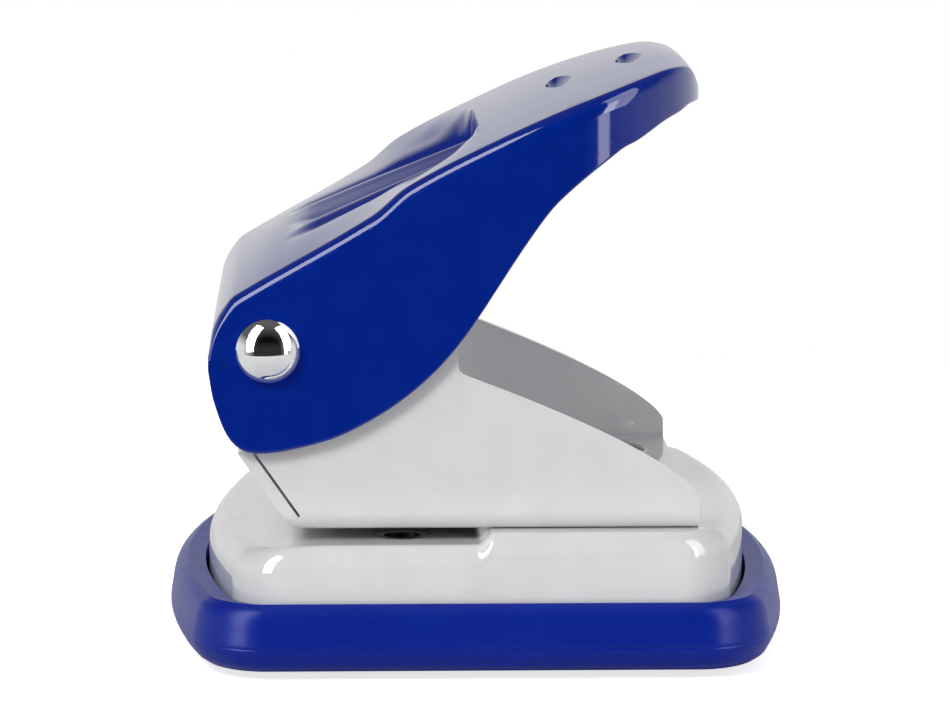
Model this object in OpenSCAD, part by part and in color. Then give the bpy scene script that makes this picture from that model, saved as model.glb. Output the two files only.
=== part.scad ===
// Two-hole desk punch with a pressed steel lever, a folded frame, a pressed base and a chip tray.
// X points from the pivot towards the lever tip, Y runs along the pivot shaft and Z is up.
// The origin is the middle of the tray's underside.

/* [Punching] */
// Distance between the two hole centres
hole_pitch = 80; // [74:1:90]
// Diameter of the punched hole
hole_d = 6; // [5:0.1:6.5]
// Distance from the hole centre to the paper stop
hole_inset = 12; // [11:0.5:13]
// Place of the hole centres along X
hole_x = -13.1; // [-14.6:0.1:-12.1]
// Height of the slot that takes the paper
paper_gap = 2; // [1.6:0.1:3]

/* [Base] */
// Length of the base pan along X
pan_l = 92; // [88:1:100]
// Distance from a hole centre to the side of the base pan
pan_margin = 14; // [12:0.5:18]
// Height of the paper table above the desk
table_h = 21.4; // [18:0.1:25]
// Sheet thickness of the base pan
pan_sheet = 1.5; // [1:0.1:2]
// Corner radius of the base pan seen from above
pan_corner = 12; // [8:1:16]
// Rounding of the top edge of the base pan
pan_edge = 4; // [2.5:0.5:5]
// How far the ends of the base pan bow outwards
pan_bow = 13; // [9:0.5:15]
// Run of the slope at the paper stop
stop_run = 3; // [2:0.5:5]
// Length of the lead-in slope at the rear end of the paper table
lead_run = 20; // [16:1:22]
// Fall of the lead-in slope
lead_fall = 2.2; // [0.5:0.1:3]

/* [Chip tray] */
// Height of the tray's rim
tray_h = 12.4; // [10:0.1:14]
// Thickness of the tray's floor
tray_floor = 1.6; // [1.2:0.1:2.5]
// Gap between tray rim and base pan
tray_gap = 0.6; // [0.3:0.1:1]
// Width of the rim from its inner edge to its widest point
tray_rim = 6; // [5:0.5:8]
// How far the ends of the tray bow outwards
tray_bow = 14; // [10:0.5:16]
// Width of the rim along the two long sides
tray_side = 3.4; // [3:0.1:5]

/* [Frame] */
// Sheet thickness of the frame
frame_sheet = 2; // [1.5:0.1:2.5]
// Distance from a hole centre to the outer face of the frame wall
wall_margin = 8; // [7.5:0.5:12]
// Distance from the front end of the base pan to the front end of the frame
frame_setback = 10.2; // [8:0.2:12]
// Place of the fold between floor and rear lip along X
frame_rear = -29.6; // [-30.3:0.1:-28.3]
// Height of the frame wall at its front end
wall_front_h = 5.2; // [4:0.2:7]
// Height of the frame wall where the slope meets the upright edge
wall_mid_h = 25.5; // [22:0.5:27]
// Bend of the sloping edge of the frame wall, 1 for a straight slope
wall_bend = 0.71; // [0.6:0.01:1]
// Radius of the corner between slope and upright edge
wall_fillet = 1.8; // [1:0.1:2.5]
// Height of the frame wall behind the upright edge
wall_top_h = 31; // [29:0.5:32]
// Place of the upright edge of the frame wall along X
wall_step_x = -3.9; // [-5:0.1:-2]
// Inner radius of the folds
fold_r = 1; // [0.6:0.1:1.5]
// Lean of the rear lip from upright
lip_lean = 35; // [25:1:45]
// Length of the rear lip along its slope
lip_l = 14.2; // [10:0.2:16]
// Slit between rear lip and frame wall
lip_slit = 0.45; // [0.3:0.05:0.8]

/* [Pivot] */
// Place of the pivot along X
pivot_x = -35.1; // [-36.5:0.1:-34]
// Height of the pivot above the desk
pivot_h = 53.7; // [52:0.1:57]
// Diameter of the pivot shaft
shaft_d = 6; // [5:0.5:6.5]
// Radius of the frame's pivot ear
ear_r = 7; // [6:0.25:7.25]
// Diameter of the domed caps
cap_d = 10.4; // [9.5:0.1:12]
// Height of the domed caps
cap_h = 4.2; // [3.5:0.1:5]
// Thickness of the washers between frame and lever
pivot_washer_t = 1; // [0.6:0.1:1.5]
// Outer diameter of the washers between frame and lever
pivot_washer_d = 12; // [10:0.5:13]

/* [Lever] */
// Sheet thickness of the lever
lever_sheet = 1.4; // [1:0.1:1.8]
// Rounding of the edge between the lever's top and its flanges
lever_edge = 3; // [2.2:0.1:4]
// Length over which the lever rounds off to its nose
nose_l = 37.4; // [32:0.2:40]
// Fullness of the nose seen from above
nose_power = 2.7; // [2:0.1:3.5]
// Rise of the lever's top across its width at the rear
crown_h = 1.9; // [0.5:0.1:2.3]
// Depth of the middle flute below the ribs
flute_depth = 2; // [0.5:0.1:2.4]
// Depth of the two cross grooves
groove_depth = 1.6; // [0.8:0.1:2]
// Length of the cross grooves along Y
groove_l = 20; // [16:1:20]
// Width of the cross grooves
groove_w = 4.4; // [3.5:0.1:5]
// Diameter of the press bar
bar_d = 6; // [5:0.5:7]
// Distance from the press bar back to the pins along X
bar_lead = 2; // [1:0.5:3]
// Height of the press bar above the pivot
bar_rise = 15.2; // [14:0.1:16]

/* [Pins and springs] */
// Length of a punch pin below its retaining clip
pin_l = 23.3; // [21:0.1:25]
// Height of the pin tips above the underside of the frame with the lever up
pin_lift = 0.6; // [0.3:0.1:1]
// Depth of the notch in the cutting end
pin_notch = 1.2; // [0.5:0.1:2]
// Diameter of a pin at its clip groove
pin_groove_d = 4.8; // [4:0.1:5]
// Thickness of a retaining clip
clip_t = 0.8; // [0.6:0.1:1]
// Outer diameter of a retaining clip
clip_d = 9; // [8:0.1:9.5]
// Thickness of a spring washer
washer_t = 1; // [0.6:0.1:1.5]
// Outer diameter of a spring washer
washer_d = 10.4; // [10:0.1:10.6]
// Wire diameter of the return springs
wire_d = 1; // [0.7:0.1:1.1]
// Mean diameter of the return springs
spring_d = 8.4; // [8:0.1:9]
// Turns of a return spring
spring_turns = 6; // [4:0.5:6.5]
// Height of a guide bush above the frame floor
bush_h = 2; // [1.5:0.1:3]
// Diameter of a guide bush
bush_d = 10.8; // [10:0.1:11.2]
// Wall of a guide bush inside the floor
bush_wall = 1.2; // [0.8:0.1:1.6]
// Sheet thickness of a pin bracket
bracket_sheet = 1.5; // [1:0.1:2]
// Width of a pin bracket along Y
bracket_w = 9; // [8:0.2:9.4]
// Inside length of a pin bracket along X
bracket_l = 13; // [12.4:0.2:15]

/* [Dies and rivets] */
// Wall of a die ring where it passes the base sheet
die_wall = 1.6; // [1:0.1:2]
// Width of a die ring's shoulder
die_shoulder = 2; // [1:0.1:2.5]
// Height of a die ring below the base sheet
die_h = 3; // [2:0.2:4]
// Shank diameter of the frame rivets
rivet_d = 4; // [3:0.2:5]
// Head height of the frame rivets
rivet_head_h = 1.4; // [1:0.1:2]
// Diameter of the closed end of the frame rivets
rivet_end_d = 6.4; // [5:0.2:7]
// Distance of the rivets from the middle plane
rivet_y = 28; // [20:1:30]
// Distance from the front end of the frame to the first pair of rivets
rivet_inset = 8; // [7:0.5:10]
// Distance between the two pairs of rivets
rivet_pitch = 14; // [12:0.5:16]

/* [Fits] */
// Running clearance of a shaft or pin in its bore, on the radius
run_gap = 0.05; // [0.03:0.01:0.08]
// Side clearance on each face of a washer or cap
side_gap = 0.05; // [0.03:0.01:0.15]
// Gap between press bar and pin head with the lever up
head_gap = 0.3; // [0.15:0.05:0.4]
// Gap between retaining clip and pin bracket with the lever up
clip_gap = 0.1; // [0.05:0.05:0.3]

/* [Hidden] */
$fn = 48;
SIDES = ["near", "far"];
cut = 1;

// Levels above the desk
floor_z = table_h + paper_gap;
floor_top = floor_z + frame_sheet;
bush_top = floor_top + bush_h;

// Half widths, from the middle plane outwards
hole_y = hole_pitch / 2;
wall_out = hole_y + wall_margin;
wall_in = wall_out - frame_sheet;
flange_in = wall_out + pivot_washer_t + 2 * side_gap;
flange_out = flange_in + lever_sheet;
pan_half_w = hole_y + pan_margin;

// Outlines of base and tray seen from above
stop_x = hole_x + hole_inset;
tray_half_l = pan_l / 2 + tray_gap + tray_rim;
tray_half_w = pan_half_w + tray_gap + tray_side;
frame_front = pan_l / 2 - frame_setback;
lead_x = lead_run - pan_l / 2;

// Press bar over the pin heads, and the levels along a pin
bar_reach = hole_x - pivot_x - bar_lead;
pin_top = pivot_h + bar_rise - bar_d / 2 - head_gap;
pin_tip = floor_z + pin_lift;
clip_z = pin_tip + pin_l;
washer_z = clip_z - washer_t;
bracket_z = clip_z + clip_t + clip_gap;

// Smooth curve through a list of points, as a height over a place
function span_at(p, x, i = 0) = i >= len(p) - 2 || x < p[i + 1][0] ? i : span_at(p, x, i + 1);
function rise_at(p, i) =
    let (a = max(i - 1, 0), b = min(i + 1, len(p) - 1))
    (p[b][1] - p[a][1]) / (p[b][0] - p[a][0]);
function curve(p, x) =
    let (
        i = span_at(p, x),
        h = p[i + 1][0] - p[i][0],
        t = (x - p[i][0]) / h
    )
    (2 * t ^ 3 - 3 * t ^ 2 + 1) * p[i][1] + (t ^ 3 - 2 * t ^ 2 + t) * h * rise_at(p, i)
    + (3 * t ^ 2 - 2 * t ^ 3) * p[i + 1][1] + (t ^ 3 - t ^ 2) * h * rise_at(p, i + 1);

// Solid skin over rings of equal length, closed at both ends by fans from their centres
function ring_faces(rings, n) = [
    for (r = [0 : rings - 2]) for (k = [0 : n - 1])
        let (a = r * n + k, b = r * n + (k + 1) % n)
        each [[a, b + n, b], [a, a + n, b + n]]
];
function centre(pts) = [for (p = pts) 1] * pts / len(pts);
function closing(ids, c) = [for (k = [0 : len(ids) - 1]) [c, ids[(k + 1) % len(ids)], ids[k]]];
function flipped(faces) = [for (f = faces) [f[0], f[2], f[1]]];

module solid_of_rings(rings, n) {
    all = len(rings) * n;
    polyhedron(
        concat([for (r = rings) each r], [centre(rings[0]), centre(rings[len(rings) - 1])]),
        concat(
            ring_faces(len(rings), n),
            flipped(closing([for (k = [0 : n - 1]) k], all)),
            closing([for (k = [all - n : all - 1]) k], all + 1)
        )
    );
}

// Colours
module blue_enamel() { color("#0a2a8c") children(); }
module white_enamel() { color("#e6e6e4") children(); }
module blue_plastic() { color("#1c3c9c") children(); }
module steel() { color("#b4b6b8") children(); }
module chrome() { color("#d8dade") children(); }

// Moves a piece to the near or far hole
module at_hole(side) { translate([hole_x, side == "near" ? -hole_y : hole_y, 0]) children(); }

// Turns a piece drawn upwards so that it points out of the near or far side
module at_pivot(side, y) {
    translate([pivot_x, side == "near" ? -y : y, pivot_h])
        rotate([side == "near" ? 90 : -90, 0, 0]) children();
}

// Lays a side outline, drawn as X and Z, across the middle plane
module across(half_w) {
    translate([0, half_w, 0]) rotate([90, 0, 0]) linear_extrude(2 * half_w) children();
}

// Outline of base or tray seen from above, with bowed ends, the two places of the paper stop and the lead-in
ARC_STEPS = 6;
BOW_FROM = 0.35;
function arc_pts(cx, cy, r, from) = [
    for (k = [0 : ARC_STEPS])
        let (a = from + 90 * k / ARC_STEPS)
        [cx + r * cos(a), cy + r * sin(a)]
];
function bowed(pts, half_w, bow) = [
    for (p = pts)
        let (pull = bow * max(0, abs(p[0]) / (pan_l / 2) - BOW_FROM) * (p[1] / half_w) ^ 2)
        [p[0] - sign(p[0]) * pull, p[1]]
];
function plan(a, b, r, bow) =
    let (ends = [-0.5, 0, 0.5])
    concat(
        [[stop_x, -b], [stop_x + stop_run, -b]],
        bowed(concat(
            arc_pts(a - r, r - b, r, -90), [for (e = ends) [a, e * (b - r)]], arc_pts(a - r, b - r, r, 0)
        ), b, bow),
        [[stop_x + stop_run, b], [stop_x, b], [lead_x, b]],
        bowed(concat(
            arc_pts(r - a, b - r, r, 90), [for (e = ends) [-a, -e * (b - r)]], arc_pts(r - a, r - b, r, 180)
        ), b, bow),
        [[lead_x, -b]]
    );
PLAN_N = 4 * (ARC_STEPS + 1) + 12;
STOP_FAR = PLAN_N / 2 - 1;

// Block with the outline of the base pan, drawn in by a sheet thickness for its hollow
function pan_level(x) =
    x > stop_x + stop_run / 2 ? floor_z : table_h - lead_fall * (max(0, lead_x - x) / lead_run) ^ 2;
function pan_ring(inset, drop) = [
    for (p = plan(pan_l / 2 - inset, pan_half_w - inset, pan_corner - inset, pan_bow))
        [p[0], p[1], pan_level(p[0]) - drop]
];
module pan_block(sheet, bottom) {
    edge = pan_edge - sheet;
    foot = [
        for (p = plan(pan_l / 2 - sheet, pan_half_w - sheet, pan_corner - sheet, pan_bow))
            [p[0], p[1], bottom]
    ];
    rounding = [for (a = [0 : 18 : 90]) pan_ring(sheet + edge * (1 - cos(a)), sheet + edge * (1 - sin(a)))];
    rings = concat([foot], rounding);
    all = len(rings) * PLAN_N;
    last = all - PLAN_N;
    raised = [1 : STOP_FAR];
    lead = [STOP_FAR + 2 : PLAN_N - 1];
    top_ring = rounding[len(rounding) - 1];
    polyhedron(
        concat(
            [for (r = rings) each r],
            [centre(foot), centre([for (k = raised) top_ring[k]]), centre([for (k = lead) top_ring[k]])]
        ),
        concat(
            ring_faces(len(rings), PLAN_N),
            flipped(closing([for (k = [0 : PLAN_N - 1]) k], all)),
            closing([for (k = raised) last + k], all + 1),
            closing([for (k = lead) last + k], all + 2),
            quad(last, last + STOP_FAR + 1, last + STOP_FAR, last + 1),
            quad(all - 1, last + STOP_FAR + 2, last + STOP_FAR + 1, last)
        )
    );
}

module rivet_places() {
    for (k = [0, 1], s = [-1, 1])
        translate([frame_front - rivet_inset - k * rivet_pitch, s * rivet_y, 0]) children();
}

module base_pan() {
    white_enamel() difference() {
        pan_block(0, tray_floor);
        pan_block(pan_sheet, tray_floor - cut);
        for (side = SIDES) at_hole(side)
            translate([0, 0, table_h - pan_sheet - cut])
                cylinder(d = hole_d + 2 * (run_gap + die_wall), h = pan_sheet + 2 * cut);
        rivet_places() translate([0, 0, floor_z - pan_sheet - cut])
            cylinder(d = rivet_d, h = pan_sheet + 2 * cut);
    }
}

// Rim of the tray: how far the skirt is drawn in, over the share of its height
rim_fall = 0.4;
tray_skirt = [
    [0, 3.2], [0.08, 1.7], [0.16, 0.8], [0.25, 0.2], [0.33, 0], [0.6, 0.3], [0.82, 0.8], [0.93, 1.6], [1, 3]
];

module chip_tray() {
    skirt = [for (s = tray_skirt) [
        for (p = plan(tray_half_l - s[1], tray_half_w - s[1], pan_corner + tray_rim - s[1], tray_bow))
            [p[0], p[1], s[0] * tray_h]
    ]];
    well = [for (z = [tray_h - rim_fall, tray_floor]) [
        for (p = plan(pan_l / 2 + tray_gap, pan_half_w + tray_gap, pan_corner + tray_gap, pan_bow))
            [p[0], p[1], z]
    ]];
    blue_plastic() solid_of_rings(concat(skirt, well), PLAN_N);
}

// Folded section of floor and walls, seen along X
module trough(half_w, bottom, r) {
    tall = pivot_h + ear_r + cut;
    translate([-half_w, bottom + r]) square([2 * half_w, tall - bottom - r]);
    translate([r - half_w, bottom]) square([2 * (half_w - r), tall - bottom]);
    for (s = [-1, 1]) translate([s * (half_w - r), bottom + r]) circle(r);
}

// Sloping edge of the wall from the front end up to the fillet at the foot of the upright edge
SLOPE_STEPS = 16;
FILLET_STEPS = 5;
slope_rise = wall_mid_h - wall_front_h;
slope_angle = atan(wall_bend * slope_rise / (frame_front - wall_step_x));
slope_end = wall_step_x + wall_fillet * (1 - sin(slope_angle));
function slope_pt(s) = [
    frame_front + (slope_end - frame_front) * s, floor_z + wall_front_h + slope_rise * s ^ wall_bend
];
function fillet_pt(a) = [
    wall_step_x + wall_fillet * (1 + cos(a)), floor_z + wall_mid_h + wall_fillet * (cos(slope_angle) + sin(a))
];

// Rear lip: its fold centre and the line of its inner face
lip_dir = [-sin(lip_lean), cos(lip_lean)];
lip_out = [-cos(lip_lean), -sin(lip_lean)];
fold_c = [frame_rear, floor_top + fold_r];
wall_rear = pivot_x - ear_r;
function lip_pt(out, along) = fold_c + out * lip_out + along * lip_dir;

module wall_outline() {
    edge_in = fold_r - lip_slit;
    top_z = floor_z + wall_top_h;
    foot = lip_pt(edge_in, 0);
    difference() {
        union() {
            polygon(concat(
                [[foot[0], floor_z], foot, lip_pt(edge_in, lip_l - fold_r), [wall_rear, pivot_h - ear_r],
                 [wall_rear, pivot_h], [pivot_x, pivot_h], [pivot_x, top_z], [wall_step_x - fold_r, top_z],
                 [wall_step_x, top_z - fold_r]],
                [for (k = [0 : FILLET_STEPS - 1]) fillet_pt(180 + (90 - slope_angle) * k / FILLET_STEPS)],
                [for (k = [SLOPE_STEPS : -1 : 0]) slope_pt((k / SLOPE_STEPS) ^ 2)],
                [[frame_front, floor_z]]
            ));
            translate([pivot_x, pivot_h]) circle(ear_r);
        }
        translate([pivot_x, pivot_h]) circle(d = shaft_d + 2 * run_gap);
    }
}

// Folded strip of the rear lip, seen along Y: from the floor round the fold and up the lip
FOLD_STEPS = 8;
function fold_pt(r, k) =
    let (a = 270 - (90 - lip_lean) * k / FOLD_STEPS)
    fold_c + r * [cos(a), sin(a)];
module lip_outline() {
    out_r = fold_r + frame_sheet;
    polygon(concat(
        [[frame_rear + out_r, floor_z]],
        [for (k = [0 : FOLD_STEPS]) fold_pt(out_r, k)],
        [lip_pt(out_r, lip_l), lip_pt(fold_r, lip_l)],
        [for (k = [FOLD_STEPS : -1 : 0]) fold_pt(fold_r, k)],
        [[frame_rear + out_r, floor_top]]
    ));
}

module frame() {
    white_enamel() difference() {
        union() {
            intersection() {
                rotate([90, 0, 90]) translate([0, 0, wall_rear]) linear_extrude(frame_front - wall_rear)
                    difference() {
                        trough(wall_out, floor_z, fold_r + frame_sheet);
                        trough(wall_in, floor_top, fold_r);
                    }
                across(wall_out + cut) wall_outline();
            }
            across(wall_out) lip_outline();
        }
        for (side = SIDES) at_hole(side) translate([0, 0, floor_z - cut])
            cylinder(d = hole_d + 2 * (run_gap + bush_wall), h = frame_sheet + 2 * cut);
        rivet_places() translate([0, 0, floor_z - cut]) cylinder(d = rivet_d, h = frame_sheet + 2 * cut);
    }
}

// Rivets: a domed head on the floor, a shank through both sheets and a closed end under the base
module frame_rivets() {
    stack = frame_sheet + pan_sheet;
    steel() rivet_places() translate([0, 0, floor_z - pan_sheet]) {
        translate([0, 0, -rivet_head_h]) cylinder(d = rivet_end_d, h = rivet_head_h);
        cylinder(d = rivet_d, h = stack);
        translate([0, 0, stack]) rotate_extrude() intersection() {
            dome_r = (rivet_d ^ 2 + rivet_head_h ^ 2) / (2 * rivet_head_h);
            translate([0, rivet_head_h - dome_r]) circle(dome_r);
            square([rivet_d, rivet_head_h]);
        }
    }
}

// Lever: side view as heights over X, measured from the pivot
lever_top = [
    [-9.8, -1.2], [-9, 3.4], [-6.7, 7.5], [-5.2, 8.9], [16.8, 21.6], [22.8, 26.5], [37.8, 34.2], [49.8, 39.4],
    [64.9, 44.4], [69.6, 44.6], [71.2, 43.4], [72.9, 40]
];
lever_foot = [
    [-9.8, -3.6], [-9, -8.2], [-6.6, -14.4], [-3, -17], [5.2, -16.2], [13.4, -13.5], [23.2, -7.4],
    [31.3, 0.8], [42.8, 17.9], [47.7, 24.1], [57.9, 32.2], [60.8, 33.6], [65.6, 36.4], [68.5, 37.5],
    [70.5, 38.4], [72.9, 38.2]
];
lever_tail = lever_top[0][0];
lever_tip = lever_top[len(lever_top) - 1][0];

// Recess and grooves, as places along X from the pivot
recess_tail = 2;
recess_end = 35.5;
recess_wall = 0.5;
dish_fade = 0.55;
rib_start = [7, 17.7];
rib_slope = 0.42;
grip_run = 4;
grip_crown = 0.8;
groove_at = [49.6, 61.6];
roll_at = [0, 0.4, 0.9, lever_sheet, 2.4, 3.7, 5.2, 7.5, 11.3];
nose_at = [8.2, 6.2, 4.4, 2.8, lever_sheet, 0.8, 0.3, 0];
RECESS_STEPS = 18;
GROOVE_CUTS = [-0.5, -0.3, 0, 0.3, 0.5];
WALL_STATIONS = 4;
stations = concat(
    [for (d = roll_at) lever_tail + d],
    [for (k = [0 : RECESS_STEPS])
        recess_tail + (recess_end - 2 * recess_wall - recess_tail) * k / RECESS_STEPS],
    [recess_end - recess_wall, recess_end, recess_end + grip_run, recess_end + 2 * grip_run],
    [for (s = GROOVE_CUTS) groove_at[0] + s * groove_w],
    [(groove_at[0] + groove_at[1]) / 2],
    [for (s = GROOVE_CUTS) groove_at[1] + s * groove_w],
    [for (d = nose_at) lever_tip - d]
);

// Lines that run along the lever over half its width: slope to the recess, flute, rib and middle flute
lines_tail = [40, 33, 27, 22, 16, 11, 5.5, 0];
lines_tip = [36, 24, 16, 13, 9.8, 6.5, 3.3, 0];
lines_grip = [30, 11, 10, 8.5, 6.5, 4.5, 2.5, 0];
line_share = [0.25, 0.5, 0.72, 1, 1, 1, 1, 1];
line_flute = [0, 0, 0.1, 0.55, 0, 0.3, 0.65, 1];
FLUTE_LINE = 3;
RIB_LINE = 4;
LINES = len(lines_tail);
function ramp(x, from, to) = min(max((x - from) / (to - from), 0), 1);
function line_y(k, x) =
    lines_tail[k] + (lines_tip[k] - lines_tail[k]) * ramp(x, recess_tail, recess_end)
    + (lines_grip[k] - lines_tip[k]) * ramp(x, recess_end, recess_end + grip_run);

// Rise of the top above its edges: a crown at the rear, a dish along straight ribs and a flat grip in front
function rib_rise(x) =
    let (straight = rib_start[1] + rib_slope * (x - rib_start[0]))
    min(crown_h, straight - curve(lever_top, x)) * ramp(x, lever_tail, 0);
function line_rise(k, y, x, flat_w) =
    let (
        rise = rib_rise(x),
        arch = 1 - (y / flat_w) ^ 2,
        flute = line_flute[k] * flute_depth * ramp(x, recess_tail, rib_start[0]),
        inside = ramp(recess_end - x, 0, recess_wall + dish_fade * max(0, y - lines_tip[FLUTE_LINE]))
    )
    inside * (rise * (rise > 0 ? arch : line_share[k]) - flute)
    + (1 - inside) * grip_crown * flat_w / flange_out * arch;
function groove_sink(y, x) =
    max([for (g = groove_at)
        let (u = (x - g) / (groove_w / 2), v = y / (groove_l / 2), d = 1 - u ^ 2 - v ^ 2)
        d <= 0 ? 0 : groove_depth * sqrt(d)]);

// Half width of the lever, which rounds off to a blunt nose
nose_blunt = 0.3;
function lever_half_w(x, sheet) =
    let (from = lever_tip + nose_blunt - nose_l, t = ramp(x, from, from + nose_l - sheet))
    (flange_out - sheet) * (1 - t ^ nose_power) ^ (1 / nose_power);

// Half of a section at one station, from the foot of the flange up and in to the middle line
OUTER_STEPS = 3;
INNER_STEPS = 1;
EDGE_SHARE = 0.45;
EDGE_LEAST = 0.2;
OUTER_LINES = [0 : LINES - 1];
INNER_LINES = [1, 2, FLUTE_LINE, RIB_LINE, LINES - 1];
function half_section(x, sheet, steps, lines) =
    let (
        top = curve(lever_top, x) - sheet,
        foot = curve(lever_foot, x),
        half_w = lever_half_w(x, sheet),
        r = max(min(lever_edge, EDGE_SHARE * (top + sheet - foot)) - sheet, EDGE_LEAST),
        flat_w = half_w - r
    )
    concat(
        [[half_w, foot]],
        [for (k = [0 : steps])
            let (a = 90 * k / steps)
            [flat_w + r * cos(a), top - r * (1 - sin(a))]],
        [for (k = lines)
            let (y = min(line_y(k, x), flat_w * (1 - (k + 1) / LINES)))
            [y, top + line_rise(k, y, x, flat_w) - groove_sink(y, x)]]
    );
function full_section(x, sheet, steps, lines) =
    let (h = half_section(x, sheet, steps, lines), n = len(h))
    concat(
        [for (p = h) [x, -p[0], p[1]]],
        [for (k = [n - 2 : -1 : 0]) [x, h[k][0], h[k][1]]]
    );

// The pressed sheet is an outer skin, an inner skin one sheet inside it and the rim between their feet
outer_skin = [for (x = stations) full_section(x, 0, OUTER_STEPS, OUTER_LINES)];
inner_first = WALL_STATIONS - 1;
inner_last = len(stations) - WALL_STATIONS;
inner_skin = [
    for (s = [inner_first : inner_last]) full_section(stations[s], lever_sheet, INNER_STEPS, INNER_LINES)
];
outer_n = len(outer_skin[0]);
inner_n = len(inner_skin[0]);
inner_at = len(outer_skin) * outer_n;
function outer_id(s, k) = s * outer_n + k;
function inner_id(s, k) = inner_at + (s - inner_first) * inner_n + k;
function quad(a, b, c, d) = [[a, b, c], [a, c, d]];
function fan(first, n) = [for (k = [1 : n - 2]) [first, first + k, first + k + 1]];

function skin_faces() = concat(
    [for (s = [0 : len(stations) - 2]) for (k = [0 : outer_n - 2])
        each quad(outer_id(s, k), outer_id(s, k + 1), outer_id(s + 1, k + 1), outer_id(s + 1, k))],
    [for (s = [inner_first : inner_last - 1]) for (k = [0 : inner_n - 2])
        each quad(inner_id(s, k), inner_id(s + 1, k), inner_id(s + 1, k + 1), inner_id(s, k + 1))]
);
function end_faces() = concat(
    flipped(fan(outer_id(0, 0), outer_n)),
    fan(outer_id(len(stations) - 1, 0), outer_n),
    fan(inner_id(inner_first, 0), inner_n),
    flipped(fan(inner_id(inner_last, 0), inner_n))
);
function rim_faces() =
    let (o = outer_n - 1, i = inner_n - 1, a = inner_first, z = inner_last)
    concat(
        [for (s = [a : z - 1]) each concat(
            quad(outer_id(s, 0), outer_id(s + 1, 0), inner_id(s + 1, 0), inner_id(s, 0)),
            quad(inner_id(s, i), inner_id(s + 1, i), outer_id(s + 1, o), outer_id(s, o))
        )],
        [for (s = concat([for (k = [0 : 1 : a - 2]) k], [for (k = [z + 1 : 1 : len(stations) - 2]) k]))
            each quad(outer_id(s, 0), outer_id(s + 1, 0), outer_id(s + 1, o), outer_id(s, o))],
        quad(outer_id(a - 1, 0), outer_id(a, 0), inner_id(a, 0), inner_id(a, i)),
        quad(outer_id(a - 1, 0), inner_id(a, i), outer_id(a, o), outer_id(a - 1, o)),
        quad(inner_id(z, 0), outer_id(z, 0), outer_id(z + 1, 0), outer_id(z + 1, o)),
        quad(inner_id(z, i), inner_id(z, 0), outer_id(z + 1, o), outer_id(z, o))
    );

module lever() {
    blue_enamel() translate([pivot_x, 0, pivot_h]) difference() {
        polyhedron(
            concat([for (r = outer_skin) each r], [for (r = inner_skin) each r]),
            concat(skin_faces(), end_faces(), rim_faces())
        );
        rotate([90, 0, 0]) cylinder(d = shaft_d + 2 * run_gap, h = 2 * flange_out + 2 * cut, center = true);
    }
}

module press_bar() {
    steel() translate([pivot_x + bar_reach, 0, pivot_h + bar_rise])
        rotate([90, 0, 0]) cylinder(d = bar_d, h = 2 * flange_in, center = true);
}

// Shaft ends sit inside the caps
cap_seat = flange_out + side_gap;
cap_bore_h = cap_h * 0.6;
module pivot_shaft() {
    steel() translate([pivot_x, 0, pivot_h])
        rotate([90, 0, 0]) cylinder(d = shaft_d, h = 2 * (cap_seat + cap_bore_h), center = true);
}

module pivot_cap(side) {
    dome_r = ((cap_d / 2) ^ 2 + cap_h ^ 2) / (2 * cap_h);
    chrome() at_pivot(side, cap_seat) difference() {
        rotate_extrude() intersection() {
            translate([0, cap_h - dome_r]) circle(dome_r);
            square([cap_d, cap_h]);
        }
        translate([0, 0, -cut]) cylinder(d = shaft_d, h = cap_bore_h + cut);
    }
}

module pivot_washer(side) {
    steel() at_pivot(side, wall_out + side_gap)
        ring(pivot_washer_d, shaft_d + 2 * run_gap, pivot_washer_t);
}

module ring(d_out, d_in, h) {
    difference() {
        cylinder(d = d_out, h = h);
        translate([0, 0, -cut]) cylinder(d = d_in, h = h + 2 * cut);
    }
}

// Die ring: flush with the paper table, with a shoulder under the base sheet
module die(side) {
    neck = hole_d + 2 * (run_gap + die_wall);
    shoulder_z = table_h - pan_sheet;
    steel() at_hole(side) difference() {
        union() {
            translate([0, 0, shoulder_z - die_h]) cylinder(d = neck + 2 * die_shoulder, h = die_h);
            translate([0, 0, shoulder_z - die_h]) cylinder(d = neck, h = die_h + pan_sheet);
        }
        translate([0, 0, shoulder_z - die_h - cut])
            cylinder(d = hole_d + 2 * run_gap, h = die_h + pan_sheet + 2 * cut);
    }
}

module guide_bush(side) {
    steel() at_hole(side) difference() {
        union() {
            translate([0, 0, floor_top]) cylinder(d = bush_d, h = bush_h);
            translate([0, 0, floor_z])
                cylinder(d = hole_d + 2 * (run_gap + bush_wall), h = frame_sheet + bush_h);
        }
        translate([0, 0, floor_z - cut])
            cylinder(d = hole_d + 2 * run_gap, h = frame_sheet + bush_h + 2 * cut);
    }
}

// Saddle over the pin: two legs on the frame floor and a bored bridge
module pin_bracket(side) {
    half = bracket_l / 2;
    out_r = fold_r + bracket_sheet;
    steel() at_hole(side) difference() {
        translate([0, bracket_w / 2, 0]) rotate([90, 0, 0]) linear_extrude(bracket_w) difference() {
            arch(half + bracket_sheet, bracket_z + bracket_sheet, out_r);
            arch(half, bracket_z, fold_r);
        }
        translate([0, 0, bracket_z - cut]) cylinder(d = hole_d + 2 * run_gap, h = bracket_sheet + 2 * cut);
    }
}
module arch(half, top, r) {
    translate([-half, floor_top]) square([2 * half, top - r - floor_top]);
    translate([r - half, floor_top]) square([2 * (half - r), top - floor_top]);
    for (s = [-1, 1]) translate([s * (half - r), top - r]) circle(r);
}

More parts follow.
